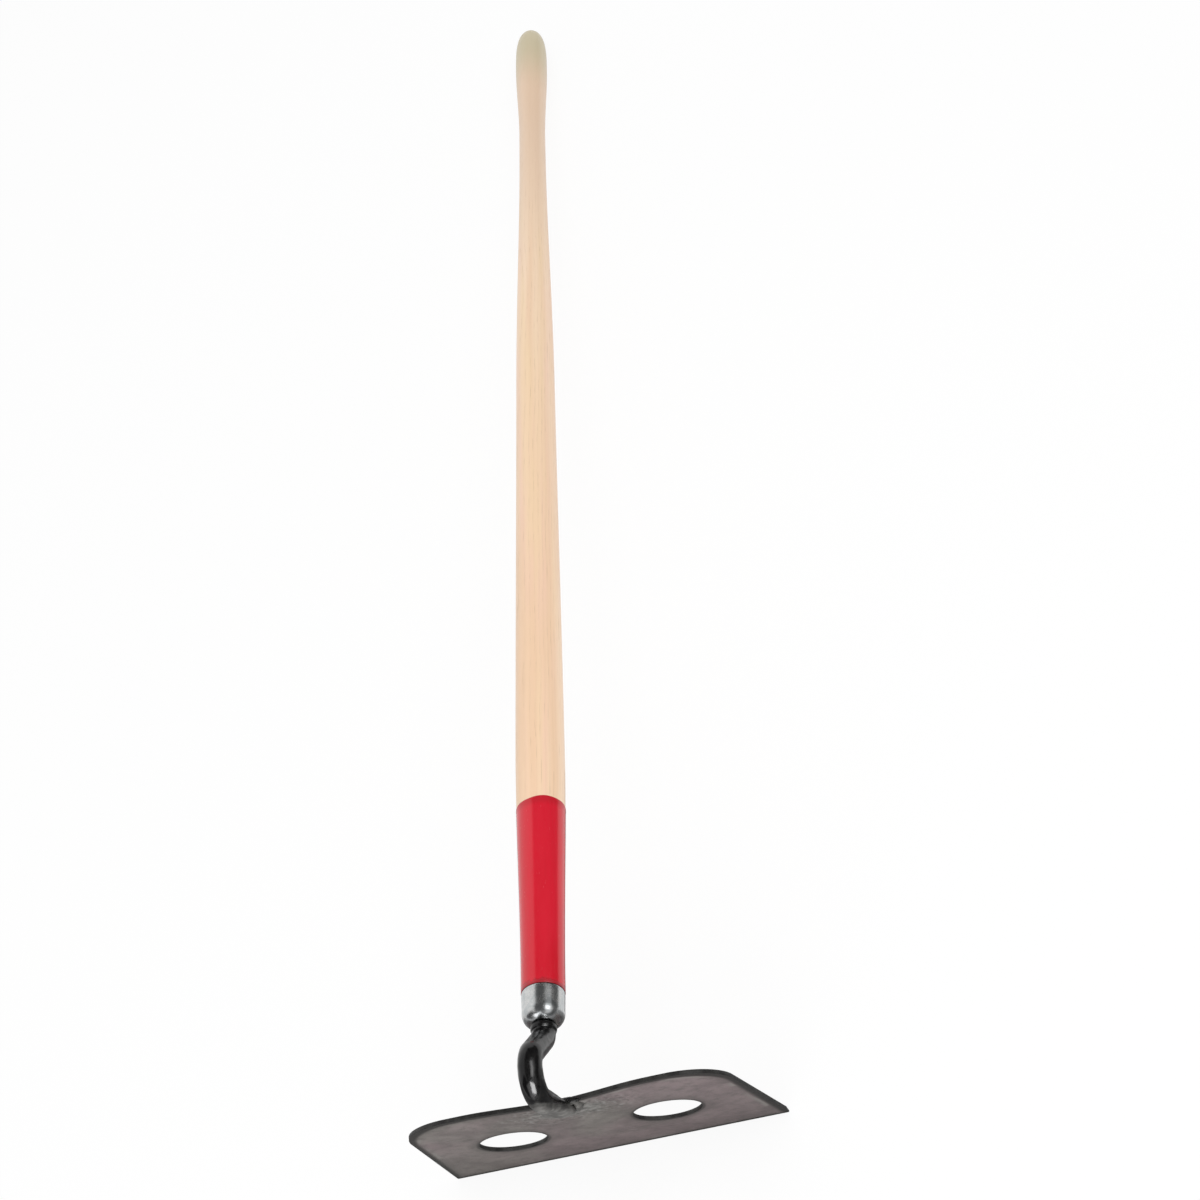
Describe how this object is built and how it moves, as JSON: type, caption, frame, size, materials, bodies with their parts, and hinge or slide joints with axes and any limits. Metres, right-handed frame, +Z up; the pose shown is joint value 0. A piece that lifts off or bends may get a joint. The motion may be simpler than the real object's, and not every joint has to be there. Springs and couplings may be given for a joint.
{
  "type": "cement hoe",
  "caption": "Long-handled mortar hoe: a turned wooden handle, a steel ferrule, a forged gooseneck shank and a wide plate blade with two round holes.",
  "frame": {"origin": "on the floor, under the middle of the hoe's box, as it lies on its cutting edge and the underside of its grip", "axes": "+X across the blade, +Y along the handle from the blade to the grip, level, +Z up, away from the cutting edge"},
  "size_m": [0.254, 1.4178, 0.1966],
  "materials": {
    "ash_wood": "clear-lacquered ash, with gloss red paint on the 160 mm next to the ferrule",
    "zinc_plate": "bright zinc plate on drawn steel",
    "black_forging": "gloss black lacquer over a forged surface",
    "grey_plate": "warm dark grey mill finish, lightly lacquered",
    "weld_metal": "dark weld bead, scuffed lighter where it was cleaned"
  },
  "bodies": {
    "root": {"handle": "ash_wood", "ferrule": "zinc_plate", "shank": "black_forging", "blade": "grey_plate", "weld_face_bead": "weld_metal", "weld_top_bead": "weld_metal"}
  },
  "joints": []
}
